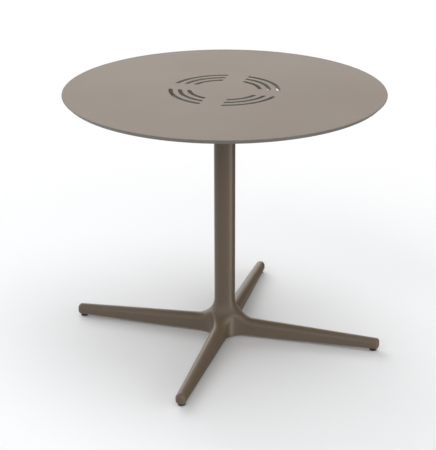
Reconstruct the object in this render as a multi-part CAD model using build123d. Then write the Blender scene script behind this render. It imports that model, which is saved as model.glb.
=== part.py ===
from build123d import *
import os

# All sizes are in millimetres. The origin is on the floor under the middle of the top, +Z up.
# The base arms run along +X (right), +Y (back), -X (left) and -Y (front).

# Whole table
TABLE_HEIGHT = 750.0
ARM_ANGLES = {"right": 0.0, "back": 90.0, "left": 180.0, "front": 270.0}

# Round top plate and its drain slots
TOP_DIAMETER = 900.0
TOP_THICKNESS = 12.0
TOP_BEVEL = 10.0               # cut back under the rim, at 45 degrees
TOP_EDGE_RADIUS = 1.5
SLOT_ROWS = 3
SLOT_OUTER_RADIUS = 150.0      # centre line of the outermost arc
SLOT_PITCH = 26.0
SLOT_WIDTH = 11.5
SLOT_CORNER_RADIUS = 2.0
SLOT_EDGE_RADIUS = 0.4
SPOKE_WIDTH = 60.0             # plain strip between the ends of two slot groups

# Threaded inserts sunk in the underside of the top
INSERT_DIAMETER = 10.0
INSERT_SKIN = 4.0              # board left above an insert

# Spider that carries the top
SPIDER_REACH = 215.0
SPOKE_MARGIN = 8.0             # spoke left clear on each side of a spider arm
SPIDER_HUB_DIAMETER = 96.0
SPIDER_HUB_FLOOR = 14.0
SPIDER_ARM_ROOT_DEPTH = 26.0
SPIDER_ARM_TIP_DEPTH = 18.0
SPIDER_EDGE_RADIUS = 4.0
SPIDER_FLANGE = 6.0            # metal between a screw's seat and the top

# Screws and washers that hold the top to the spider
SCREW_DIAMETER = 6.0
SCREW_HEAD_DIAMETER = 10.0
SCREW_HEAD_HEIGHT = 6.0
SCREW_KEY_WIDTH = 5.0
SCREW_KEY_DEPTH = 3.0
SCREW_TIP_GAP = 0.8            # free depth past the screw's end in the insert
SCREW_WASHER_DIAMETER = 14.0
SCREW_WASHER_THICKNESS = 1.6
SCREW_POCKET_GAP = 1.5         # room around a washer in its pocket

# Column tube
COLUMN_DIAMETER = 60.8
COLUMN_WALL = 2.5
SPIGOT_LENGTH = 45.0
SPIGOT_CLEARANCE = 0.1

# Tie rod that clamps spider, column and base together
ROD_DIAMETER = 12.0
ROD_END = 4.0                  # rod showing past each nut
ROD_END_GAP = 3.0              # free space past each end of the rod
NUT_WIDTH = 18.0
NUT_HEIGHT = 10.0
NUT_CHAMFER = 1.0
UPPER_WASHER_DIAMETER = 30.0
LOWER_WASHER_DIAMETER = 37.0
ROD_WASHER_THICKNESS = 3.0
WASHER_POCKET_GAP = 2.0        # room around a tie rod washer in its pocket

# Cast star base
ARM_REACH = 463.5
ARM_TIP_WIDTH = 28.5
ARM_ROOT_WIDTH = 38.0
ARM_TIP_HEIGHT = 31.2
ARM_TOP_RISE = 17.2            # the top line climbs this much from tip to root
ARM_UNDER_DROP = 1.0           # and the underside hangs this much lower at the root
ARM_CREST_WIDTH = 0.9          # flat left between the top roundings at the tip
ARM_UNDER_ROUNDING = 10.5      # along the underside at the tip
ARM_END_ROUNDING = 10.0
SHOULDER_REACH = 115.0         # from the axis to where the shoulders end and the plain arms start
SHOULDER_ROUNDING = 18.0       # along the top of the shoulders
SHOULDER_UNDER_ROUNDING = 5.0  # and along their underside
CROTCH_RADIUS = 47.0           # between neighbouring arms, seen from above
FLARE_RADIUS = 60.0            # from the column down onto an arm
NECK_STRAIGHT = 13.0           # plain neck above the flare, up to the column's seam

# Plug that closes the base from below
CAP_HEIGHT = 8.0
CAP_WALL = 2.0
CAP_FLANGE = 2.5               # the flange is this much wider than the plug, all round
CAP_FLANGE_THICKNESS = 1.5

# Levelling feet
FOOT_INSET = 17.0              # from the arm's end to the foot's axis
PAD_DIAMETER = 21.5
PAD_HEIGHT = 5.2
PAD_FLOOR = 1.8
PAD_EDGE_RADIUS = 0.8
PAD_GAP = 0.5                  # between a pad and its arm, screwed right in
STUD_DIAMETER = 8.0
STUD_HEAD_DIAMETER = 11.5
STUD_HEAD_HEIGHT = 2.0
STUD_CHAMFER = 0.8
STUD_OVERRUN = 4.0             # stud standing above its bush
STUD_TOP_GAP = 1.0
BUSH_DIAMETER = 11.0
BUSH_RECESS = 0.4              # bush set back from the arm's underside
FOOT_SKIN = 7.0                # metal left above the foot's blind hole

# Fits
HOLE_CLEARANCE = 0.5           # radial, a plain hole round a rod, screw or stud
RUNNING_CLEARANCE = 0.05       # radial, a stud in its bush and in its pad
HEAD_LIFT = 0.1                # over a stud's head in its pad
SEAT_CLEARANCE = 0.05          # radial, a pressed or threaded piece in its seat
TOLERANCE = 0.01               # for finding faces and edges by their place

# Heights and radii that follow from the sizes above
TOP_UNDERSIDE = TABLE_HEIGHT - TOP_THICKNESS
INSERT_LENGTH = TOP_THICKNESS - INSERT_SKIN
SPIDER_ARM_WIDTH = SPOKE_WIDTH - 2 * SPOKE_MARGIN
SPIDER_POCKET_DEPTH = ROD_WASHER_THICKNESS + NUT_HEIGHT + ROD_END + ROD_END_GAP
SPIDER_SEAT = TOP_UNDERSIDE - SPIDER_POCKET_DEPTH
COLUMN_TOP = SPIDER_SEAT - SPIDER_HUB_FLOOR
SCREW_POCKET_RADIUS = SCREW_WASHER_DIAMETER / 2 + SCREW_POCKET_GAP
SCREW_SEAT = TOP_UNDERSIDE - SPIDER_FLANGE
SCREW_RADII = (SPIDER_HUB_DIAMETER / 2 + 2 * SCREW_POCKET_RADIUS, SPIDER_REACH - SPIDER_ARM_WIDTH / 2)

COLUMN_RADIUS = COLUMN_DIAMETER / 2
SPIGOT_RADIUS = COLUMN_RADIUS - COLUMN_WALL - SPIGOT_CLEARANCE
ROD_HOLE_RADIUS = ROD_DIAMETER / 2 + HOLE_CLEARANCE

ARM_ROOT = COLUMN_RADIUS + FLARE_RADIUS
ARM_TIP_BOTTOM = PAD_HEIGHT + PAD_GAP
ARM_TIP_TOP = ARM_TIP_BOTTOM + ARM_TIP_HEIGHT
ARM_TOP_SLOPE = ARM_TOP_RISE / (ARM_REACH - ARM_ROOT)
ARM_TOP_ROUNDING = (ARM_TIP_WIDTH - ARM_CREST_WIDTH) / 2
SHOULDER_BLANK = 1.1 * SHOULDER_REACH
HUB_BOTTOM = ARM_TIP_BOTTOM - ARM_UNDER_DROP
FLARE_CORNER = ARM_TIP_TOP + ARM_TOP_SLOPE * (ARM_REACH - COLUMN_RADIUS)
NECK_BOTTOM = FLARE_CORNER + FLARE_RADIUS
COLUMN_BOTTOM = NECK_BOTTOM + NECK_STRAIGHT
CAVITY_RADIUS = LOWER_WASHER_DIAMETER / 2 + WASHER_POCKET_GAP
ROD_BOTTOM = HUB_BOTTOM + CAP_FLANGE_THICKNESS + CAP_HEIGHT + ROD_END_GAP
CAVITY_TOP = ROD_BOTTOM + ROD_END + NUT_HEIGHT + ROD_WASHER_THICKNESS
ROD_TOP = TOP_UNDERSIDE - ROD_END_GAP

FOOT_RADIUS = ARM_REACH - FOOT_INSET
BUSH_BOTTOM = ARM_TIP_BOTTOM + BUSH_RECESS
STUD_TOP = ARM_TIP_TOP - FOOT_SKIN - STUD_TOP_GAP
BUSH_LENGTH = STUD_TOP - STUD_OVERRUN - BUSH_BOTTOM


def disc(radius, bottom, height):
    """Upright cylinder on the Z axis, standing at a given height."""
    base_down = (Align.CENTER, Align.CENTER, Align.MIN)
    return Pos(0, 0, bottom) * Cylinder(radius, height, align=base_down)


def ring(outer_radius, inner_radius, bottom, height):
    """Upright ring on the Z axis."""
    return disc(outer_radius, bottom, height) - disc(inner_radius, bottom, height)


def on_arms(piece):
    """Copies of a piece made for the right arm, one for each arm."""
    return {arm: Rot(0, 0, angle) * piece for arm, angle in ARM_ANGLES.items()}


def at_screws(piece):
    """Copies of a piece made on the Z axis, one at each spider screw."""
    return [Rot(0, 0, angle) * Pos(radius, 0, 0) * piece
            for radius in SCREW_RADII
            for angle in ARM_ANGLES.values()]


def group(pieces):
    """Separate solids that share one node."""
    return Compound(children=[piece.solid() for piece in pieces])


def slot_pattern():
    """Rings cut into four groups of arcs by two crossing plain strips."""
    strips = Rectangle(SPOKE_WIDTH, TOP_DIAMETER) + Rectangle(TOP_DIAMETER, SPOKE_WIDTH)
    pattern = Sketch()
    for row in range(SLOT_ROWS):
        radius = SLOT_OUTER_RADIUS - row * SLOT_PITCH
        whole = Circle(radius + SLOT_WIDTH / 2) - Circle(radius - SLOT_WIDTH / 2)
        arcs = whole - strips
        pattern += fillet(arcs.vertices(), SLOT_CORNER_RADIUS)
    return pattern


def table_top():
    """Round board with a bevel under its rim, drain slots and blind seats for the inserts."""
    plate = disc(TOP_DIAMETER / 2, TOP_UNDERSIDE, TOP_THICKNESS)
    upper_edge = plate.edges().filter_by(GeomType.CIRCLE).sort_by(Axis.Z)[-1]
    plate = fillet(upper_edge, TOP_EDGE_RADIUS)
    lower_edge = plate.edges().filter_by(GeomType.CIRCLE).sort_by(Axis.Z)[0]
    plate = chamfer(lower_edge, TOP_BEVEL)
    plate -= extrude(Pos(0, 0, TOP_UNDERSIDE) * slot_pattern(), TOP_THICKNESS)
    upper_face = plate.faces().sort_by(Axis.Z)[-1]
    slot_rims = [edge for wire in upper_face.inner_wires() for edge in wire.edges()]
    plate = fillet(slot_rims, SLOT_EDGE_RADIUS)
    seat = disc(INSERT_DIAMETER / 2 + SEAT_CLEARANCE, TOP_UNDERSIDE, INSERT_LENGTH)
    plate -= at_screws(seat)
    return plate


def top_inserts():
    """Threaded sleeves for the spider screws."""
    bore = SCREW_DIAMETER / 2 + SEAT_CLEARANCE
    return group(at_screws(ring(INSERT_DIAMETER / 2, bore, TOP_UNDERSIDE, INSERT_LENGTH)))


def spider_arm():
    """One arm, its underside rising towards a round end."""
    half = SPIDER_ARM_WIDTH / 2
    straight = SPIDER_REACH - half
    plan = Pos(straight / 2, 0) * Rectangle(straight, SPIDER_ARM_WIDTH) + Pos(straight, 0) * Circle(half)
    bar = extrude(Pos(0, 0, TOP_UNDERSIDE - SPIDER_ARM_ROOT_DEPTH) * plan, SPIDER_ARM_ROOT_DEPTH)
    side = Polyline(
        (0, TOP_UNDERSIDE - SPIDER_ARM_ROOT_DEPTH),
        (SPIDER_HUB_DIAMETER / 2, TOP_UNDERSIDE - SPIDER_ARM_ROOT_DEPTH),
        (SPIDER_REACH, TOP_UNDERSIDE - SPIDER_ARM_TIP_DEPTH),
        (SPIDER_REACH, TOP_UNDERSIDE),
        (0, TOP_UNDERSIDE),
        close=True,
    )
    bar &= extrude(Plane.XZ * make_face(side), SPIDER_ARM_WIDTH, both=True)
    under = bar.faces().filter_by(lambda face: face.normal_at().Z < -TOLERANCE)
    sides = bar.faces().filter_by(lambda face: abs(face.normal_at().Z) < TOLERANCE)
    rim = [edge for edge in under.edges() if edge in sides.edges() and edge.center().X > TOLERANCE]
    return fillet(rim, SPIDER_EDGE_RADIUS)


def top_spider():
    """Four-arm casting with a hub, a spigot that enters the column and pockets for the fasteners."""
    spider = disc(SPIDER_HUB_DIAMETER / 2, COLUMN_TOP, TOP_UNDERSIDE - COLUMN_TOP)
    lower_edge = spider.edges().sort_by(Axis.Z)[0]
    spider = fillet(lower_edge, SPIDER_EDGE_RADIUS)
    spider += list(on_arms(spider_arm()).values())
    spider += disc(SPIGOT_RADIUS, COLUMN_TOP - SPIGOT_LENGTH, SPIGOT_LENGTH)
    spider -= disc(UPPER_WASHER_DIAMETER / 2 + WASHER_POCKET_GAP, SPIDER_SEAT, SPIDER_POCKET_DEPTH)
    spider -= disc(ROD_HOLE_RADIUS, COLUMN_TOP - SPIGOT_LENGTH, TOP_UNDERSIDE)
    spider -= at_screws(disc(SCREW_DIAMETER / 2 + HOLE_CLEARANCE, SCREW_SEAT, SPIDER_FLANGE))
    pocket_depth = SPIDER_ARM_ROOT_DEPTH - SPIDER_FLANGE
    spider -= at_screws(disc(SCREW_POCKET_RADIUS, SCREW_SEAT - pocket_depth, pocket_depth))
    return spider


def spider_screws():
    """Socket head screws, driven upwards into the inserts."""
    head_top = SCREW_SEAT - SCREW_WASHER_THICKNESS
    shank_length = SCREW_WASHER_THICKNESS + SPIDER_FLANGE + INSERT_LENGTH - SCREW_TIP_GAP
    screw = disc(SCREW_HEAD_DIAMETER / 2, head_top - SCREW_HEAD_HEIGHT, SCREW_HEAD_HEIGHT)
    screw += disc(SCREW_DIAMETER / 2, head_top, shank_length)
    key = RegularPolygon(SCREW_KEY_WIDTH / 2, 6, major_radius=False)
    screw -= extrude(Pos(0, 0, head_top - SCREW_HEAD_HEIGHT) * key, SCREW_KEY_DEPTH)
    return group(at_screws(screw))


def spider_washers():
    """Plain washers under the screw heads."""
    bore = SCREW_DIAMETER / 2 + SEAT_CLEARANCE
    bottom = SCREW_SEAT - SCREW_WASHER_THICKNESS
    return group(at_screws(ring(SCREW_WASHER_DIAMETER / 2, bore, bottom, SCREW_WASHER_THICKNESS)))


def column_tube():
    """Straight round tube between the base and the spider."""
    return ring(COLUMN_RADIUS, COLUMN_RADIUS - COLUMN_WALL, COLUMN_BOTTOM, COLUMN_TOP - COLUMN_BOTTOM)


def tie_rod():
    """Rod with a nut and washer at each end, its thread drawn plain."""
    return disc(ROD_DIAMETER / 2, ROD_BOTTOM, ROD_TOP - ROD_BOTTOM)


def rod_nut(bottom):
    """Hexagon nut with its corners turned off."""
    corner_radius = RegularPolygon(NUT_WIDTH / 2, 6, major_radius=False).radius
    turned = disc(corner_radius, bottom, NUT_HEIGHT)
    turned = chamfer(turned.edges().filter_by(GeomType.CIRCLE), NUT_CHAMFER)
    hexagon = extrude(Pos(0, 0, bottom) * RegularPolygon(NUT_WIDTH / 2, 6, major_radius=False), NUT_HEIGHT)
    return (hexagon & turned) - disc(ROD_DIAMETER / 2 + SEAT_CLEARANCE, bottom, NUT_HEIGHT)


def rod_washer(diameter, bottom):
    """Thick washer on the tie rod."""
    return ring(diameter / 2, ROD_DIAMETER / 2 + SEAT_CLEARANCE, bottom, ROD_WASHER_THICKNESS)


def star_plan():
    """Outline of the shoulders from above: the roots of four tapered arms with rounded crotches."""
    taper = (ARM_ROOT_WIDTH - ARM_TIP_WIDTH) / 2 / (ARM_REACH - ARM_ROOT)
    axis_half = ARM_ROOT_WIDTH / 2 + taper * ARM_ROOT
    end_half = axis_half - taper * SHOULDER_BLANK
    arm = make_face(Polyline(
        (0, -axis_half),
        (SHOULDER_BLANK, -end_half),
        (SHOULDER_BLANK, end_half),
        (0, axis_half),
        close=True,
    ))
    star = Sketch() + list(on_arms(arm).values())
    crotches = star.vertices().sort_by(lambda corner: Vector(corner).length)[:len(ARM_ANGLES)]
    return fillet(crotches, CROTCH_RADIUS)


def star_profile():
    """Half of the base from the side: underside, rising top line, flare and neck."""
    corner = (COLUMN_RADIUS, FLARE_CORNER)
    profile = make_face(Polyline(
        (0, HUB_BOTTOM),
        (ARM_ROOT, HUB_BOTTOM),
        (ARM_REACH, ARM_TIP_BOTTOM),
        (ARM_REACH, ARM_TIP_TOP),
        corner,
        (COLUMN_RADIUS, COLUMN_BOTTOM),
        (0, COLUMN_BOTTOM),
        close=True,
    ))
    inner_corner = profile.vertices().sort_by_distance(corner)[0]
    return Plane.XZ * fillet(inner_corner, FLARE_RADIUS)


def is_shoulder_wall(face):
    """True for the side of an arm's root or a crotch, but not for a root's end or the neck."""
    middle = face.center()
    upright = abs(face.normal_at().Z) < TOLERANCE
    at_end = max(abs(middle.X), abs(middle.Y)) > SHOULDER_BLANK - TOLERANCE
    return upright and middle.Z < NECK_BOTTOM and not at_end


def wall_edges(star):
    """Edges along the top and the bottom of the shoulders' walls."""
    edges = [edge for wall in star.faces().filter_by(is_shoulder_wall) for edge in wall.edges()]
    return [edge for edge in edges if abs(edge.tangent_at(0.5).Z) < 1 - TOLERANCE]


def shoulders():
    """Middle of the base: the neck, which flares into the roots of the four arms."""
    star = extrude(star_plan(), COLUMN_BOTTOM) & revolve(star_profile(), Axis.Z)
    upper = [edge for edge in wall_edges(star) if edge.center().Z > ARM_TIP_BOTTOM + TOLERANCE]
    star = fillet(upper, SHOULDER_ROUNDING)
    lower = [edge for edge in wall_edges(star) if edge.center().Z < ARM_TIP_BOTTOM + TOLERANCE]
    star = fillet(lower, SHOULDER_UNDER_ROUNDING)
    return star & Box(2 * SHOULDER_REACH, 2 * SHOULDER_REACH, 2 * COLUMN_BOTTOM)


def tip_section():
    """Rounded section of the right arm at its tip."""
    section = Rectangle(ARM_TIP_WIDTH, ARM_TIP_HEIGHT)
    corners = section.vertices().group_by(Axis.Y)
    section = fillet(corners[-1], ARM_TOP_ROUNDING)
    section = fillet(section.vertices().group_by(Axis.Y)[0], ARM_UNDER_ROUNDING)
    middle = (ARM_REACH, 0, (ARM_TIP_BOTTOM + ARM_TIP_TOP) / 2)
    return Plane(middle, x_dir=(0, 1, 0), z_dir=(1, 0, 0)) * section


def plain_arm(star):
    """Right arm from the end of its shoulder out to its rounded tip."""
    root = star.faces().sort_by(Axis.X)[-1]
    arm = loft([root, tip_section()], ruled=True)
    return fillet(arm.faces().sort_by(Axis.X)[-1].edges(), ARM_END_ROUNDING)


def base_star():
    """Cast base: four rounded arms that flow up into the neck under the column."""
    star = shoulders()
    star += list(on_arms(plain_arm(star)).values())
    star += disc(SPIGOT_RADIUS, COLUMN_BOTTOM, SPIGOT_LENGTH)
    star -= disc(ROD_HOLE_RADIUS, HUB_BOTTOM, COLUMN_BOTTOM + SPIGOT_LENGTH)
    star -= disc(CAVITY_RADIUS, HUB_BOTTOM, CAVITY_TOP - HUB_BOTTOM)
    star -= disc(CAVITY_RADIUS + CAP_FLANGE, HUB_BOTTOM, CAP_FLANGE_THICKNESS)
    bush_seat = disc(BUSH_DIAMETER / 2 + SEAT_CLEARANCE, 0, BUSH_BOTTOM + BUSH_LENGTH)
    stud_hole = disc(STUD_DIAMETER / 2 + HOLE_CLEARANCE, 0, STUD_TOP + STUD_TOP_GAP)
    star -= list(on_arms(Pos(FOOT_RADIUS, 0, 0) * (bush_seat + stud_hole)).values())
    return star


def hub_cap():
    """Push-in plug with a flange let into the underside of the base."""
    plug_radius = CAVITY_RADIUS - SEAT_CLEARANCE
    flange_radius = plug_radius + CAP_FLANGE
    cap = disc(flange_radius, HUB_BOTTOM, CAP_FLANGE_THICKNESS)
    cap += disc(plug_radius, HUB_BOTTOM + CAP_FLANGE_THICKNESS, CAP_HEIGHT)
    cap -= disc(plug_radius - CAP_WALL, HUB_BOTTOM + CAP_FLANGE_THICKNESS, CAP_HEIGHT)
    return cap


def foot_bush():
    """Threaded bush in the end of an arm, its thread drawn plain."""
    bore = STUD_DIAMETER / 2 + RUNNING_CLEARANCE
    return Pos(FOOT_RADIUS, 0, 0) * ring(BUSH_DIAMETER / 2, bore, BUSH_BOTTOM, BUSH_LENGTH)


def foot_stud():
    """Threaded stud with a flat head that turns in the pad, its thread drawn plain."""
    stud = disc(STUD_DIAMETER / 2, PAD_FLOOR, STUD_TOP - PAD_FLOOR)
    stud = chamfer(stud.edges().sort_by(Axis.Z)[-1], STUD_CHAMFER)
    stud += disc(STUD_HEAD_DIAMETER / 2, PAD_FLOOR, STUD_HEAD_HEIGHT)
    return Pos(FOOT_RADIUS, 0, 0) * stud


def foot_pad():
    """Round pad that closes over the head of its stud."""
    pad = disc(PAD_DIAMETER / 2, 0, PAD_HEIGHT)
    pad = fillet(pad.edges().filter_by(GeomType.CIRCLE), PAD_EDGE_RADIUS)
    pad -= disc(STUD_HEAD_DIAMETER / 2 + RUNNING_CLEARANCE, PAD_FLOOR, STUD_HEAD_HEIGHT + HEAD_LIFT)
    pad -= disc(STUD_DIAMETER / 2 + RUNNING_CLEARANCE, PAD_FLOOR, PAD_HEIGHT)
    return Pos(FOOT_RADIUS, 0, 0) * pad


def write(name, piece):
    """Write one node's solid, or group of solids."""
    export_step(piece, f"parts/{name}.step")


def main():
    """Make every piece and write it."""
    os.makedirs("parts", exist_ok=True)
    write("table_top", table_top())
    write("top_inserts", top_inserts())
    write("top_spider", top_spider())
    write("spider_screws", spider_screws())
    write("spider_washers", spider_washers())
    write("column_tube", column_tube())
    write("tie_rod", tie_rod())
    write("upper_rod_nut", rod_nut(SPIDER_SEAT + ROD_WASHER_THICKNESS))
    write("upper_rod_washer", rod_washer(UPPER_WASHER_DIAMETER, SPIDER_SEAT))
    write("lower_rod_nut", rod_nut(ROD_BOTTOM + ROD_END))
    write("lower_rod_washer", rod_washer(LOWER_WASHER_DIAMETER, ROD_BOTTOM + ROD_END + NUT_HEIGHT))
    write("base_star", base_star())
    write("hub_cap", hub_cap())
    for arm, piece in on_arms(foot_bush()).items():
        write(f"foot_bush_{arm}", piece)
    for arm, piece in on_arms(foot_stud()).items():
        write(f"foot_stud_{arm}", piece)
    for arm, piece in on_arms(foot_pad()).items():
        write(f"foot_pad_{arm}", piece)


main()
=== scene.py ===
import bpy
import math
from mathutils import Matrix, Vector


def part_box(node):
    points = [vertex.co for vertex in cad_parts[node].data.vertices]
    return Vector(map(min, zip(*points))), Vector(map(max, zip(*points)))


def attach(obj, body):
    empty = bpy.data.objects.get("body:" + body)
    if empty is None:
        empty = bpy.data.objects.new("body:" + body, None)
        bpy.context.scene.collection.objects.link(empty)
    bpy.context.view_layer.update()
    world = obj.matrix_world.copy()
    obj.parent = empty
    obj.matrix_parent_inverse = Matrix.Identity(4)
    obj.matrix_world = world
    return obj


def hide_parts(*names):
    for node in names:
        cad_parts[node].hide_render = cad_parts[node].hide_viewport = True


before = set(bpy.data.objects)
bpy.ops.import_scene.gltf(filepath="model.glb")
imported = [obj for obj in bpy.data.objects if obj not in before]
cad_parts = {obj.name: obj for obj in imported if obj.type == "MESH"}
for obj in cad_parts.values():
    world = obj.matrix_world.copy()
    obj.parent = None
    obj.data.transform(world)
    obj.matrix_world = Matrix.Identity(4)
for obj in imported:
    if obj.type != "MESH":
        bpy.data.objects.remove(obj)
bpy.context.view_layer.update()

# The scene is in metres, in the table's own frame: origin on the floor under the column, +Z up.
# Sizes of the modelled pieces are in millimetres, and their outlines are (radius, height above the floor).
MM = 0.001

# Camera, at the photograph's viewing angle
CAMERA_TURN = math.radians(14.958)     # round the column, from looking along +Y
CAMERA_PITCH = math.radians(22.056)    # below the horizon
CAMERA_DISTANCE = 3.43                 # along the floor, from the column
CAMERA_ASIDE = 0.0042                  # to the right of the column
CAMERA_HEIGHT = 1.7342
PICTURE_WIDTH = 436                    # pixels
PICTURE_HEIGHT = 450
FOCAL_LENGTH_PIXELS = 1278.4
AXIS_PIXEL_X = 226.17                  # where the lens points, from the picture's left edge
SENSOR_MM = 36.0

# Studio
FLOOR_SIZE = 24.0
FLOOR_WHITE = (0.912, 0.92, 0.93)
FLOOR_BOUNCE = (0.5, 0.5, 0.5)         # the floor as it lights the table from below
FADE_START = 0.75                      # distance from the column where the floor starts to fade to white
FADE_END = 1.85
ROOM_LIGHT = 0.10                      # dim light from all round
LIT_HEIGHT = 0.4                       # the lamps point at the column, this far up
LAMP_DISTANCE = 25.0
# Lamps: degrees round from the camera's side and above the floor, width, height, watts
LAMPS = {
    "overhead": (132.8, 83.0, 39.0, 16.0, 3350.0),
    "back": (207.3, 20.6, 24.6, 19.6, 5221.4),
    "left": (302.6, 55.8, 27.9, 7.5, 1000.0),
    "right": (84.3, 13.9, 40.0, 12.0, 2964.4),
    "front": (345.0, 33.0, 44.0, 10.0, 2300.0),
}

# The room as the gloss shows it: white walls, a greyer floor and ceiling, bright panels and a dark one.
# The lines where floor and ceiling blend into the walls are heights on a room of radius one.
GLOSS_FLOOR = 0.74
GLOSS_CEILING = 0.4
FLOOR_LINE = (-0.05, 0.05)
CEILING_LINE = (0.42, 0.62)
# Panels: degrees round and up, half width and half height one unit away, brightness
PANELS = {
    "sheen": (208.0, 18.8, 0.9, 0.15, 1.2),
    "gleam": (84.0, -20.0, 0.43, 0.36, 2.0),
}
DARK_PANEL = (119.9, -5.6, 0.72, 1.14)
PANEL_EDGE = 0.08
LEAST_AHEAD = 0.05                     # keeps a panel from showing on the far side of the room too

# Grain that the finishes share
SPECK_SHARE = 0.25                     # of the fine grain, in the drift of tone
ROUGHNESS_DRIFT = 0.12
GRAIN_STRENGTH = 0.35
# The board's faces point nearly straight up or down, and its cut edges less so
FACE_UPRIGHTNESS = 0.98
EDGE_UPRIGHTNESS = 0.88

# Places and sizes that the modelled pieces share with the CAD solids
ARMS = {"right": (1, 0), "back": (0, 1), "left": (-1, 0), "front": (0, -1)}
FOOT_RADIUS = 446.5
SCREW_RADII = (65.0, 193.0)
ROD_BORE = 6.05                        # radius of the holes in the tie rod's nuts and washers
SCREW_BORE = 3.05                      # and in the washers of the spider's screws
SCREW_WASHER_RADIUS = 7.0
NUT_WIDTH = 18.0                       # across the flats
SCREW_KEY_WIDTH = 5.0
CAP_FLANGE = 2.5                       # the hub cap's flange is this much wider than its plug

# Threads: outer radius and pitch
FOOT_THREAD = (3.99, 1.25)
ROD_THREAD = (5.98, 1.75)
SCREW_THREAD = (2.99, 1.0)
# Form of a thread, in pitches
THREAD_DEPTH = 0.6134
THREAD_ROOT_FLAT = 1 / 4
THREAD_CREST = (9 / 16, 11 / 16)

# Fineness of the modelled pieces
SIDES = 48
ROUNDER_SIDES = 64
ROUNDEST_SIDES = 72
THREAD_STEPS = 36                      # a turn
KNURL_STRIPS = 60
MERGE_DISTANCE = 1e-7
SMOOTH_ANGLE = math.radians(32)


def deselect_all():
    """Leave nothing selected, so that the next operator acts on its own piece alone."""
    bpy.ops.object.select_all(action="DESELECT")


def span(node):
    """Bottom and top of a CAD node, in millimetres."""
    low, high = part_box(node)
    return low.z / MM, high.z / MM


def pick(piece):
    """Make a piece the only one selected."""
    deselect_all()
    bpy.context.view_layer.objects.active = piece
    piece.select_set(True)


def drawn_line(name, points):
    """Line through (radius, height) points, left in edit mode."""
    deselect_all()
    bpy.ops.mesh.primitive_plane_add(size=MM)
    piece = bpy.context.object
    piece.name = name
    bpy.ops.object.mode_set(mode="EDIT")
    bpy.ops.mesh.select_all(action="SELECT")
    bpy.ops.mesh.merge(type="CENTER")
    radius, height = points[0]
    bpy.ops.transform.translate(value=(radius * MM, 0, height * MM))
    for next_radius, next_height in points[1:]:
        step = ((next_radius - radius) * MM, 0, (next_height - height) * MM)
        bpy.ops.mesh.extrude_region_move(TRANSFORM_OT_translate={"value": step})
        radius, height = next_radius, next_height
    return piece


def close_up(piece):
    """Merge doubles, turn the faces outwards and leave edit mode."""
    bpy.ops.mesh.select_all(action="SELECT")
    bpy.ops.mesh.remove_doubles(threshold=MERGE_DISTANCE)
    bpy.ops.mesh.normals_make_consistent(inside=False)
    bpy.ops.object.mode_set(mode="OBJECT")
    return piece


def turned(name, outline, sides=SIDES):
    """Solid turned about the upright axis, from an outline that ends on the axis or closes on itself."""
    piece = drawn_line(name, outline)
    bpy.ops.mesh.select_all(action="SELECT")
    bpy.ops.mesh.spin(steps=sides, angle=2 * math.pi, center=(0, 0, 0), axis=(0, 0, 1))
    return close_up(piece)


def apply_modifier(piece, kind, **settings):
    """Add a modifier to a piece and apply it."""
    pick(piece)
    modifier = piece.modifiers.new("step", kind)
    for key, value in settings.items():
        setattr(modifier, key, value)
    bpy.ops.object.modifier_apply(modifier="step")


def combine(piece, tool, operation):
    """Boolean of a piece with a helper, which is used up."""
    apply_modifier(piece, "BOOLEAN", operation=operation, solver="EXACT", object=tool)
    bpy.data.objects.remove(tool)


def threaded(name, thread, bottom, top):
    """Length of real screw thread, cut square at both ends."""
    radius, pitch = thread
    root = radius - THREAD_DEPTH * pitch
    crest_start, crest_end = THREAD_CREST
    ridge = (
        (root, 0.0), (root, pitch * THREAD_ROOT_FLAT),
        (radius, pitch * crest_start), (radius, pitch * crest_end), (root, pitch),
    )
    piece = drawn_line(name, [(reach, height + bottom - pitch) for reach, height in ridge])
    bpy.ops.object.mode_set(mode="OBJECT")
    turns = math.ceil((top - bottom) / pitch) + 2
    apply_modifier(piece, "SCREW", screw_offset=pitch * MM, iterations=turns,
                   steps=THREAD_STEPS, render_steps=THREAD_STEPS)
    bpy.ops.object.mode_set(mode="EDIT")
    bpy.ops.mesh.select_all(action="SELECT")
    bpy.ops.mesh.remove_doubles(threshold=MERGE_DISTANCE)
    for height, side in ((bottom, -1), (top, 1)):
        bpy.ops.mesh.select_all(action="SELECT")
        bpy.ops.mesh.bisect(plane_co=(0, 0, height * MM), plane_no=(0, 0, side), use_fill=True,
                            clear_outer=True, threshold=MERGE_DISTANCE)
    return close_up(piece)


def blunt_tip(piece, bottom, top, radius, tip_radius, bevel):
    """Turn a thread's upper end down to a blunt tip."""
    outline = [(0, bottom), (radius, bottom), (radius, top - bevel), (tip_radius, top), (0, top)]
    combine(piece, turned("blunt", outline), "INTERSECT")


def hexagon(name, across_flats, bottom, top):
    """Six-sided bar, standing upright."""
    deselect_all()
    corner = across_flats / 2 / math.cos(math.pi / 6)
    bpy.ops.mesh.primitive_cylinder_add(vertices=6, radius=corner * MM, depth=(top - bottom) * MM,
                                        location=(0, 0, (bottom + top) / 2 * MM))
    bpy.ops.object.transform_apply()
    piece = bpy.context.object
    piece.name = name
    return piece


def spots_on_arms(radius):
    """A place on each arm at a distance from the axis, as (x, y)."""
    return [(x * radius, y * radius) for x, y in ARMS.values()]


def screw_spots():
    """Where the spider's screws are."""
    return [spot for radius in SCREW_RADII for spot in spots_on_arms(radius)]


def copies(piece, spots):
    """Copies of a piece at (x, y) spots, each with its own mesh, in place of the piece."""
    placed = []
    for x, y in spots:
        pick(piece)
        bpy.ops.object.duplicate(linked=False)
        bpy.context.object.location = (x * MM, y * MM, 0)
        bpy.ops.object.transform_apply()
        placed.append(bpy.context.object)
    bpy.data.objects.remove(piece)
    return placed


def joined(name, pieces):
    """Several pieces made one."""
    pick(pieces[0])
    for piece in pieces:
        piece.select_set(True)
    bpy.ops.object.join()
    pieces[0].name = name
    return pieces[0]


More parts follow.
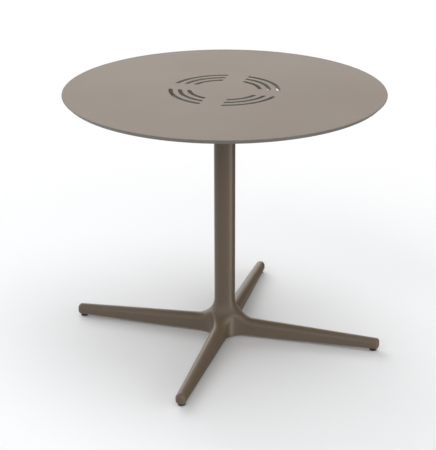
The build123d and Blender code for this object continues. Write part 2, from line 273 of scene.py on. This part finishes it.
def finish_piece(piece, name, body, node, material):
    """Shade a finished piece and put it in its CAD node's place."""
    piece.name = name
    pick(piece)
    bpy.ops.object.shade_smooth_by_angle(angle=SMOOTH_ANGLE)
    piece.data.materials.clear()
    piece.data.materials.append(material)
    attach(piece, body)
    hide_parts(node)


def new_material(name):
    """Empty node material and its tree."""
    material = bpy.data.materials.new(name)
    material.use_nodes = True
    material.node_tree.nodes.clear()
    return material, material.node_tree


def add_node(tree, kind, **settings):
    """New node with its properties and unlinked inputs set."""
    node = tree.nodes.new(kind)
    inputs = settings.pop("inputs", {})
    for key, value in settings.items():
        setattr(node, key, value)
    for key, value in inputs.items():
        node.inputs[key].default_value = value
    return node


def reckon(tree, operation, *terms):
    """Result of an arithmetic node on numbers and other nodes' outputs."""
    node = add_node(tree, "ShaderNodeMath", operation=operation)
    for socket, term in zip(node.inputs, terms):
        if isinstance(term, float):
            socket.default_value = term
        else:
            tree.links.new(term, socket)
    return node.outputs[0]


def ramp(tree, value, start, end, low=0.0, high=1.0, kind="LINEAR"):
    """Climb from low to high as a value goes from start to end, level outside."""
    limits = {"From Min": start, "From Max": end, "To Min": low, "To Max": high}
    node = add_node(tree, "ShaderNodeMapRange", interpolation_type=kind, inputs=limits)
    tree.links.new(value, node.inputs["Value"])
    return node.outputs["Result"]


def fine_grain_group():
    """Fine grain of a finish, with a slow drift of tone."""
    group = bpy.data.node_groups.new("fine_grain", "ShaderNodeTree")
    socket = group.interface.new_socket
    socket(name="Colour", in_out="INPUT", socket_type="NodeSocketColor")
    socket(name="Grain Scale", in_out="INPUT", socket_type="NodeSocketFloat")
    socket(name="Tone Drift", in_out="INPUT", socket_type="NodeSocketFloat")
    socket(name="Roughness", in_out="INPUT", socket_type="NodeSocketFloat")
    socket(name="Colour", in_out="OUTPUT", socket_type="NodeSocketColor")
    socket(name="Roughness", in_out="OUTPUT", socket_type="NodeSocketFloat")
    socket(name="Height", in_out="OUTPUT", socket_type="NodeSocketFloat")
    given = group.nodes.new("NodeGroupInput")
    made = group.nodes.new("NodeGroupOutput")
    link = group.links.new
    place = group.nodes.new("ShaderNodeTexCoord")

    grain = add_node(group, "ShaderNodeTexNoise", inputs={"Detail": 3.0, "Roughness": 0.6})
    link(place.outputs["Object"], grain.inputs["Vector"])
    link(given.outputs["Grain Scale"], grain.inputs["Scale"])
    link(grain.outputs["Fac"], made.inputs["Height"])

    drift = add_node(group, "ShaderNodeTexNoise", inputs={"Scale": 3.5, "Detail": 4.0, "Roughness": 0.55})
    link(place.outputs["Object"], drift.inputs["Vector"])
    speck = add_node(group, "ShaderNodeMix", data_type="FLOAT", inputs={0: SPECK_SHARE})
    link(drift.outputs["Fac"], speck.inputs[2])
    link(grain.outputs["Fac"], speck.inputs[3])
    centred = reckon(group, "SUBTRACT", speck.outputs[0], 0.5)
    swing = reckon(group, "MULTIPLY", centred, given.outputs["Tone Drift"])
    tinted = add_node(group, "ShaderNodeVectorMath", operation="SCALE")
    link(given.outputs["Colour"], tinted.inputs["Vector"])
    link(reckon(group, "ADD", swing, 1.0), tinted.inputs["Scale"])
    link(tinted.outputs["Vector"], made.inputs["Colour"])

    rougher = reckon(group, "MULTIPLY_ADD", centred, ROUGHNESS_DRIFT, given.outputs["Roughness"])
    link(rougher, made.inputs["Roughness"])
    return group


FINE_GRAIN = fine_grain_group()


def cut_edge_colour(tree, face_colour, core):
    """Colour of a laminate: its face, and its core on the cut edges."""
    place = tree.nodes.new("ShaderNodeTexCoord")
    lie = tree.nodes.new("ShaderNodeSeparateXYZ")
    tree.links.new(place.outputs["Normal"], lie.inputs[0])
    uprightness = reckon(tree, "ABSOLUTE", lie.outputs["Z"])
    cut = ramp(tree, uprightness, FACE_UPRIGHTNESS, EDGE_UPRIGHTNESS, kind="SMOOTHSTEP")
    blend = add_node(tree, "ShaderNodeMix", data_type="RGBA", inputs={7: (*core, 1.0)})
    tree.links.new(cut, blend.inputs[0])
    tree.links.new(face_colour, blend.inputs[6])
    return blend.outputs[2]


def finish_material(name, colour, roughness, grain_scale, grain_height, tone_drift, shader, core=None):
    """Material with a fine grain, and the rest of its look set on the shader's own sockets."""
    material, tree = new_material(name)
    grain = add_node(tree, "ShaderNodeGroup", node_tree=FINE_GRAIN)
    grain.inputs["Colour"].default_value = (*colour, 1.0)
    grain.inputs["Grain Scale"].default_value = grain_scale
    grain.inputs["Tone Drift"].default_value = tone_drift
    grain.inputs["Roughness"].default_value = roughness
    bump = add_node(tree, "ShaderNodeBump", inputs={"Strength": GRAIN_STRENGTH, "Distance": grain_height})
    skin = add_node(tree, "ShaderNodeBsdfPrincipled", inputs=shader)
    output = tree.nodes.new("ShaderNodeOutputMaterial")
    tree.links.new(grain.outputs["Height"], bump.inputs["Height"])
    shade = grain.outputs["Colour"]
    if core:
        shade = cut_edge_colour(tree, shade, core)
    tree.links.new(shade, skin.inputs["Base Color"])
    tree.links.new(grain.outputs["Roughness"], skin.inputs["Roughness"])
    tree.links.new(bump.outputs["Normal"], skin.inputs["Normal"])
    tree.links.new(skin.outputs["BSDF"], output.inputs["Surface"])
    return material


LAMINATE = finish_material(
    "taupe_laminate", colour=(0.163, 0.122, 0.087), roughness=0.45, grain_scale=900.0,
    grain_height=0.0002, tone_drift=0.12, shader={"IOR": 1.5}, core=(0.203, 0.191, 0.168),
)
FRAME_COAT = finish_material(
    "taupe_frame_coat", colour=(0.165, 0.122, 0.0836), roughness=0.34, grain_scale=900.0,
    grain_height=0.0002, tone_drift=0.12, shader={"IOR": 1.5},
)
ZINC_PLATE = finish_material(
    "zinc_plate", colour=(0.58, 0.59, 0.6), roughness=0.3, grain_scale=2600.0,
    grain_height=0.00004, tone_drift=0.35, shader={"Metallic": 1.0},
)
BLACK_PLASTIC = finish_material(
    "black_plastic", colour=(0.022, 0.022, 0.021), roughness=0.5, grain_scale=3200.0,
    grain_height=0.00006, tone_drift=0.4, shader={"IOR": 1.5},
)


def dress(node, material):
    """Give a CAD node its finish."""
    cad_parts[node].material_slots[0].material = material


def make_pads():
    """Moulded pads with a contact ring underneath and a shallow waist, open round the stud."""
    contact_ring = [(0, 0.5), (6.8, 0.5), (7.5, 0.05), (7.9, 0), (9.5, 0)]
    side = [(10.2, 0.25), (10.6, 0.75), (10.75, 1.4), (10.75, 2.2), (10.55, 2.45),
            (10.55, 2.9), (10.75, 3.15), (10.75, 4.0), (10.55, 4.6), (10.1, 5.0)]
    mouth = [(9.4, 5.2), (5.3, 5.2), (4.6, 5.0), (4.15, 4.6), (4.05, 4.3), (4.05, 3.9)]
    head_room = [(5.8, 3.9), (5.8, 1.8), (0, 1.8)]
    pad = turned("pad", contact_ring + side + mouth + head_room, ROUNDER_SIDES)
    for arm, piece in zip(ARMS, copies(pad, spots_on_arms(FOOT_RADIUS))):
        name = f"moulded_pad_{arm}"
        finish_piece(piece, name, f"{arm}_pad", f"foot_pad_{arm}", BLACK_PLASTIC)


def make_studs():
    """M8 studs with a real thread and a turned head."""
    bottom, top = span("foot_stud_right")
    neck = bottom + 2.0
    stud = threaded("stud", FOOT_THREAD, bottom + 1.0, top)
    blunt_tip(stud, bottom, top, radius=4.05, tip_radius=3.1, bevel=0.9)
    head = turned("head", [(0, bottom), (5.3, bottom), (5.6, bottom + 0.15), (5.75, bottom + 0.45),
                           (5.75, neck - 0.3), (5.5, neck), (0, neck)])
    combine(stud, head, "UNION")
    for arm, piece in zip(ARMS, copies(stud, spots_on_arms(FOOT_RADIUS))):
        name = f"threaded_stud_{arm}"
        finish_piece(piece, name, f"{arm}_stud", f"foot_stud_{arm}", ZINC_PLATE)


def make_tie_rod():
    """Plain rod with a rolled thread at each end."""
    bottom, top = span("tie_rod")
    plain_radius = 5.9
    thread_length = 48.0
    overlap = 1.0
    lower = bottom + thread_length
    upper = top - thread_length
    rod = turned("rod", [(0, lower), (plain_radius, lower), (plain_radius, upper), (0, upper)])
    combine(rod, threaded("lower", ROD_THREAD, bottom, lower + overlap), "UNION")
    combine(rod, threaded("upper", ROD_THREAD, upper - overlap, top), "UNION")
    bevel = 1.2
    tip_radius = 4.8
    blunt = turned("blunt", [(0, bottom), (tip_radius, bottom), (ROD_BORE, bottom + bevel),
                             (ROD_BORE, top - bevel), (tip_radius, top), (0, top)])
    combine(rod, blunt, "INTERSECT")
    finish_piece(rod, "threaded_tie_rod", "table", "tie_rod", ZINC_PLATE)


def make_rod_nuts():
    """Hexagon nuts with their corners turned off and countersunk bores."""
    face = 8.6
    corner = 10.45
    corner_bevel = 1.05
    sink = 7.6
    sink_depth = 0.6
    past_end = 1.0
    for place in ("upper", "lower"):
        node = f"{place}_rod_nut"
        bottom, top = span(node)
        nut = hexagon("nut", NUT_WIDTH, bottom, top)
        outside = [
            (0, bottom), (face, bottom), (corner, bottom + corner_bevel),
            (corner, top - corner_bevel), (face, top), (0, top),
        ]
        combine(nut, turned("outside", outside, ROUNDEST_SIDES), "INTERSECT")
        bore = [
            (0, bottom - past_end), (sink, bottom - past_end), (ROD_BORE, bottom + sink_depth),
            (ROD_BORE, top - sink_depth), (sink, top + past_end), (0, top + past_end),
        ]
        combine(nut, turned("bore", bore), "DIFFERENCE")
        finish_piece(nut, f"hexagon_{node}", "table", node, ZINC_PLATE)


def washer(name, inner, outer, bottom, top):
    """Punched washer, its edges rolled over on one side and broken on the other."""
    return turned(name, [
        (inner, bottom + 0.2), (inner + 0.2, bottom), (outer - 0.15, bottom), (outer, bottom + 0.15),
        (outer, top - 0.6), (outer - 0.15, top - 0.25), (outer - 0.45, top), (inner + 0.35, top),
        (inner, top - 0.35), (inner, bottom + 0.2),
    ], ROUNDER_SIDES)


def make_rod_washers():
    """Thick washers on the tie rod."""
    for place in ("upper", "lower"):
        node = f"{place}_rod_washer"
        bottom, top = span(node)
        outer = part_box(node)[1].x / MM
        piece = washer(node, ROD_BORE, outer, bottom, top)
        finish_piece(piece, f"punched_{node}", "table", node, ZINC_PLATE)


def knurl(piece, bottom, top):
    """Raise every other strip round a screw's head."""
    strip_margin = 0.04
    strip_rise = 0.12
    wall_slope = 0.1
    bpy.ops.object.mode_set(mode="EDIT")
    bpy.ops.mesh.select_mode(type="FACE")
    bpy.ops.mesh.select_all(action="DESELECT")
    bpy.ops.object.mode_set(mode="OBJECT")
    for face in piece.data.polygons:
        middle = face.center
        upright = abs(face.normal.z) < wall_slope
        strip = round(math.atan2(middle.y, middle.x) / (2 * math.pi) * KNURL_STRIPS - 0.5)
        face.select = upright and bottom * MM < middle.z < top * MM and strip % 2 == 0
    bpy.ops.object.mode_set(mode="EDIT")
    bpy.ops.mesh.inset(thickness=strip_margin * MM, depth=strip_rise * MM, use_individual=True)
    bpy.ops.mesh.select_mode(type="VERT")
    close_up(piece)


def make_spider_screws():
    """Socket head screws, heads down, with a knurled rim and a real thread."""
    bottom, tip = span("spider_screws")
    neck = bottom + 6.0
    knurl_bottom = bottom + 0.5
    knurl_top = neck - 0.9
    key_end = bottom + 2.6
    past_end = bottom - 1.0
    screw = turned("screw", [(0, bottom), (4.2, bottom), (4.6, bottom + 0.12), (4.85, knurl_bottom),
                             (4.85, knurl_top), (4.85, neck - 0.3), (4.6, neck), (0, neck)], KNURL_STRIPS)
    knurl(screw, knurl_bottom, knurl_top)
    combine(screw, hexagon("socket", SCREW_KEY_WIDTH, past_end, key_end), "DIFFERENCE")
    mouth = turned("mouth", [(0, past_end), (4.1, past_end), (2.45, bottom + 0.65), (2.45, key_end),
                             (0, key_end + 1.0)])
    combine(screw, mouth, "DIFFERENCE")
    shank = threaded("shank", SCREW_THREAD, neck - 1.0, tip)
    blunt_tip(shank, bottom, tip, radius=SCREW_BORE, tip_radius=2.3, bevel=0.7)
    combine(screw, shank, "UNION")
    screws = joined("socket_screws", copies(screw, screw_spots()))
    finish_piece(screws, "socket_screws", "table", "spider_screws", ZINC_PLATE)


def make_spider_washers():
    """Washers under the spider's screws."""
    bottom, top = span("spider_washers")
    piece = washer("washer", SCREW_BORE, SCREW_WASHER_RADIUS, bottom, top)
    pieces = joined("punched_washers", copies(piece, screw_spots()))
    finish_piece(pieces, "punched_washers", "table", "spider_washers", ZINC_PLATE)


def make_hub_cap():
    """Moulded plug with a dished face and ribs that grip the cavity."""
    bottom, top = span("hub_cap")
    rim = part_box("hub_cap")[1].x / MM
    plug = rim - CAP_FLANGE
    groove = plug - 0.3
    wall = plug - 2.0
    floor = bottom + 2.0
    outline = [(0, bottom + 0.5), (15.2, bottom + 0.5), (15.9, bottom + 0.12), (16.4, bottom),
               (rim - 0.8, bottom), (rim - 0.2, bottom + 0.25), (rim, bottom + 0.7), (rim, bottom + 1.35),
               (rim - 0.15, bottom + 1.5), (groove, bottom + 1.5)]
    ribs = 3
    rib_pitch = 2.0
    for rib in range(ribs):
        low = bottom + 2.2 + rib * rib_pitch
        outline += [(groove, low), (plug, low + 0.25), (plug, low + 0.6), (groove, low + 1.4)]
    outline += [(plug - 0.5, top - 0.35), (plug - 0.9, top), (plug - 1.8, top), (wall, top - 0.3),
                (wall, floor + 0.4), (wall - 0.5, floor), (0, floor)]
    cap = turned("cap", outline, ROUNDEST_SIDES)
    finish_piece(cap, "ribbed_hub_cap", "table", "hub_cap", BLACK_PLASTIC)


def make_camera():
    """Camera that frames the table as the photograph does."""
    camera = bpy.data.cameras.new("camera")
    camera.sensor_width = SENSOR_MM
    camera.lens = FOCAL_LENGTH_PIXELS * SENSOR_MM / PICTURE_HEIGHT
    camera.shift_x = (PICTURE_WIDTH / 2 - AXIS_PIXEL_X) / PICTURE_HEIGHT
    camera.clip_end = FLOOR_SIZE
    holder = bpy.data.objects.new("camera", camera)
    sideways = Vector((math.cos(CAMERA_TURN), math.sin(CAMERA_TURN), 0))
    forwards = Vector((-math.sin(CAMERA_TURN), math.cos(CAMERA_TURN), 0))
    holder.location = CAMERA_ASIDE * sideways - CAMERA_DISTANCE * forwards + Vector((0, 0, CAMERA_HEIGHT))
    holder.rotation_euler = (math.pi / 2 - CAMERA_PITCH, 0, CAMERA_TURN)
    bpy.context.scene.collection.objects.link(holder)
    bpy.context.scene.camera = holder


def seen_directly(tree):
    """Mask that is one for what the camera sees, straight, in a reflection or through glass."""
    path = tree.nodes.new("ShaderNodeLightPath")
    mirrored = reckon(tree, "MAXIMUM", path.outputs["Is Camera Ray"], path.outputs["Is Glossy Ray"])
    return reckon(tree, "MAXIMUM", mirrored, path.outputs["Is Transmission Ray"])


def make_floor():
    """Plain pale floor that keeps the table's shadow and fades to white further out."""
    deselect_all()
    bpy.ops.mesh.primitive_plane_add(size=FLOOR_SIZE)
    floor = bpy.context.object
    floor.name = "floor"
    material, tree = new_material("floor_white")
    link = tree.links.new
    seen = seen_directly(tree)
    paint_colours = {6: (*FLOOR_BOUNCE, 1.0), 7: (*FLOOR_WHITE, 1.0)}
    tint = add_node(tree, "ShaderNodeMix", data_type="RGBA", inputs=paint_colours)
    paint = tree.nodes.new("ShaderNodeBsdfDiffuse")
    white = add_node(tree, "ShaderNodeEmission", inputs={"Strength": 1.0})
    place = tree.nodes.new("ShaderNodeTexCoord")
    distance = add_node(tree, "ShaderNodeVectorMath", operation="LENGTH")
    blend = tree.nodes.new("ShaderNodeMixShader")
    output = tree.nodes.new("ShaderNodeOutputMaterial")
    link(place.outputs["Object"], distance.inputs[0])
    fade = ramp(tree, distance.outputs["Value"], FADE_START, FADE_END, kind="SMOOTHSTEP")
    link(seen, tint.inputs[0])
    link(tint.outputs[2], paint.inputs["Color"])
    link(reckon(tree, "MULTIPLY", fade, seen), blend.inputs["Fac"])
    link(paint.outputs["BSDF"], blend.inputs[1])
    link(white.outputs["Emission"], blend.inputs[2])
    link(blend.outputs["Shader"], output.inputs["Surface"])
    floor.data.materials.append(material)
    floor.visible_glossy = False


def towards(turn, rise):
    """Direction out from the column, in degrees round from the camera's side and above the floor."""
    around = CAMERA_TURN - math.pi / 2 + math.radians(turn)
    flat = math.cos(math.radians(rise))
    return Vector((flat * math.cos(around), flat * math.sin(around), math.sin(math.radians(rise))))


def share_of(tree, place, axis):
    """How far a direction of the room points along an axis."""
    share = add_node(tree, "ShaderNodeVectorMath", operation="DOT_PRODUCT", inputs={1: axis})
    tree.links.new(place, share.inputs[0])
    return share.outputs["Value"]


def panel_mask(tree, place, panel):
    """Mask that is one inside a soft-edged panel of the room."""
    turn, rise, half_width, half_height = panel
    centre = towards(turn, rise)
    across = towards(turn + 90, 0)
    ahead = reckon(tree, "MAXIMUM", share_of(tree, place, centre), LEAST_AHEAD)
    masks = []
    for axis, half in ((across, half_width), (centre.cross(across), half_height)):
        slant = reckon(tree, "DIVIDE", share_of(tree, place, axis), ahead)
        offset = reckon(tree, "ABSOLUTE", slant)
        masks.append(ramp(tree, offset, half + PANEL_EDGE, half - PANEL_EDGE, kind="SMOOTHSTEP"))
    return reckon(tree, "MULTIPLY", *masks)


def gloss_level(tree):
    """Brightness of the room as the table's gloss shows it."""
    place = tree.nodes.new("ShaderNodeTexCoord").outputs["Generated"]
    rise = share_of(tree, place, (0, 0, 1))
    lower = ramp(tree, rise, *FLOOR_LINE, low=GLOSS_FLOOR)
    upper = ramp(tree, rise, *CEILING_LINE, low=1.0, high=GLOSS_CEILING)
    level = reckon(tree, "MULTIPLY", lower, upper)
    for *panel, brightness in PANELS.values():
        level = reckon(tree, "MULTIPLY_ADD", panel_mask(tree, place, panel), brightness, level)
    left_over = reckon(tree, "SUBTRACT", 1.0, panel_mask(tree, place, DARK_PANEL))
    return reckon(tree, "MULTIPLY", level, left_over)


def make_room():
    """White surroundings to look at, which light the table only dimly and show panels in its gloss."""
    world = bpy.data.worlds.new("room")
    bpy.context.scene.world = world
    world.cycles.sampling_method = "NONE"
    world.use_nodes = True
    tree = world.node_tree
    tree.nodes.clear()
    link = tree.links.new
    dim = add_node(tree, "ShaderNodeBackground", inputs={"Strength": ROOM_LIGHT})
    white = add_node(tree, "ShaderNodeBackground", inputs={"Strength": 1.0})
    shiny = tree.nodes.new("ShaderNodeBackground")
    for surroundings in (dim, white, shiny):
        surroundings.inputs["Color"].default_value = (1.0, 1.0, 1.0, 1.0)
    path = tree.nodes.new("ShaderNodeLightPath")
    seen = reckon(tree, "MAXIMUM", path.outputs["Is Camera Ray"], path.outputs["Is Transmission Ray"])
    unseen = tree.nodes.new("ShaderNodeMixShader")
    blend = tree.nodes.new("ShaderNodeMixShader")
    output = tree.nodes.new("ShaderNodeOutputWorld")
    link(gloss_level(tree), shiny.inputs["Strength"])
    link(path.outputs["Is Glossy Ray"], unseen.inputs["Fac"])
    link(dim.outputs["Background"], unseen.inputs[1])
    link(shiny.outputs["Background"], unseen.inputs[2])
    link(seen, blend.inputs["Fac"])
    link(unseen.outputs["Shader"], blend.inputs[1])
    link(white.outputs["Background"], blend.inputs[2])
    link(blend.outputs["Shader"], output.inputs["Surface"])


def make_lamps():
    """Soft studio lights, which neither the camera nor the gloss sees."""
    for name, (turn, rise, width, height, watts) in LAMPS.items():
        lamp = bpy.data.lights.new(name, "AREA")
        lamp.shape = "ELLIPSE" if name == "overhead" else "RECTANGLE"
        lamp.size = width
        lamp.size_y = height
        lamp.energy = watts
        holder = bpy.data.objects.new(name, lamp)
        outwards = towards(turn, rise)
        holder.location = Vector((0, 0, LIT_HEIGHT)) + LAMP_DISTANCE * outwards
        holder.rotation_euler = outwards.to_track_quat("Z", "Y").to_euler()
        holder.visible_camera = False
        holder.visible_glossy = False
        bpy.context.scene.collection.objects.link(holder)


dress("table_top", LAMINATE)
for frame_node in ("base_star", "column_tube", "top_spider"):
    dress(frame_node, FRAME_COAT)
for steel_node in ("top_inserts", *(f"foot_bush_{arm}" for arm in ARMS)):
    dress(steel_node, ZINC_PLATE)

make_pads()
make_studs()
make_tie_rod()
make_rod_nuts()
make_rod_washers()
make_spider_screws()
make_spider_washers()
make_hub_cap()

make_camera()
make_floor()
make_room()
make_lamps()
bpy.context.scene.view_settings.view_transform = "Standard"
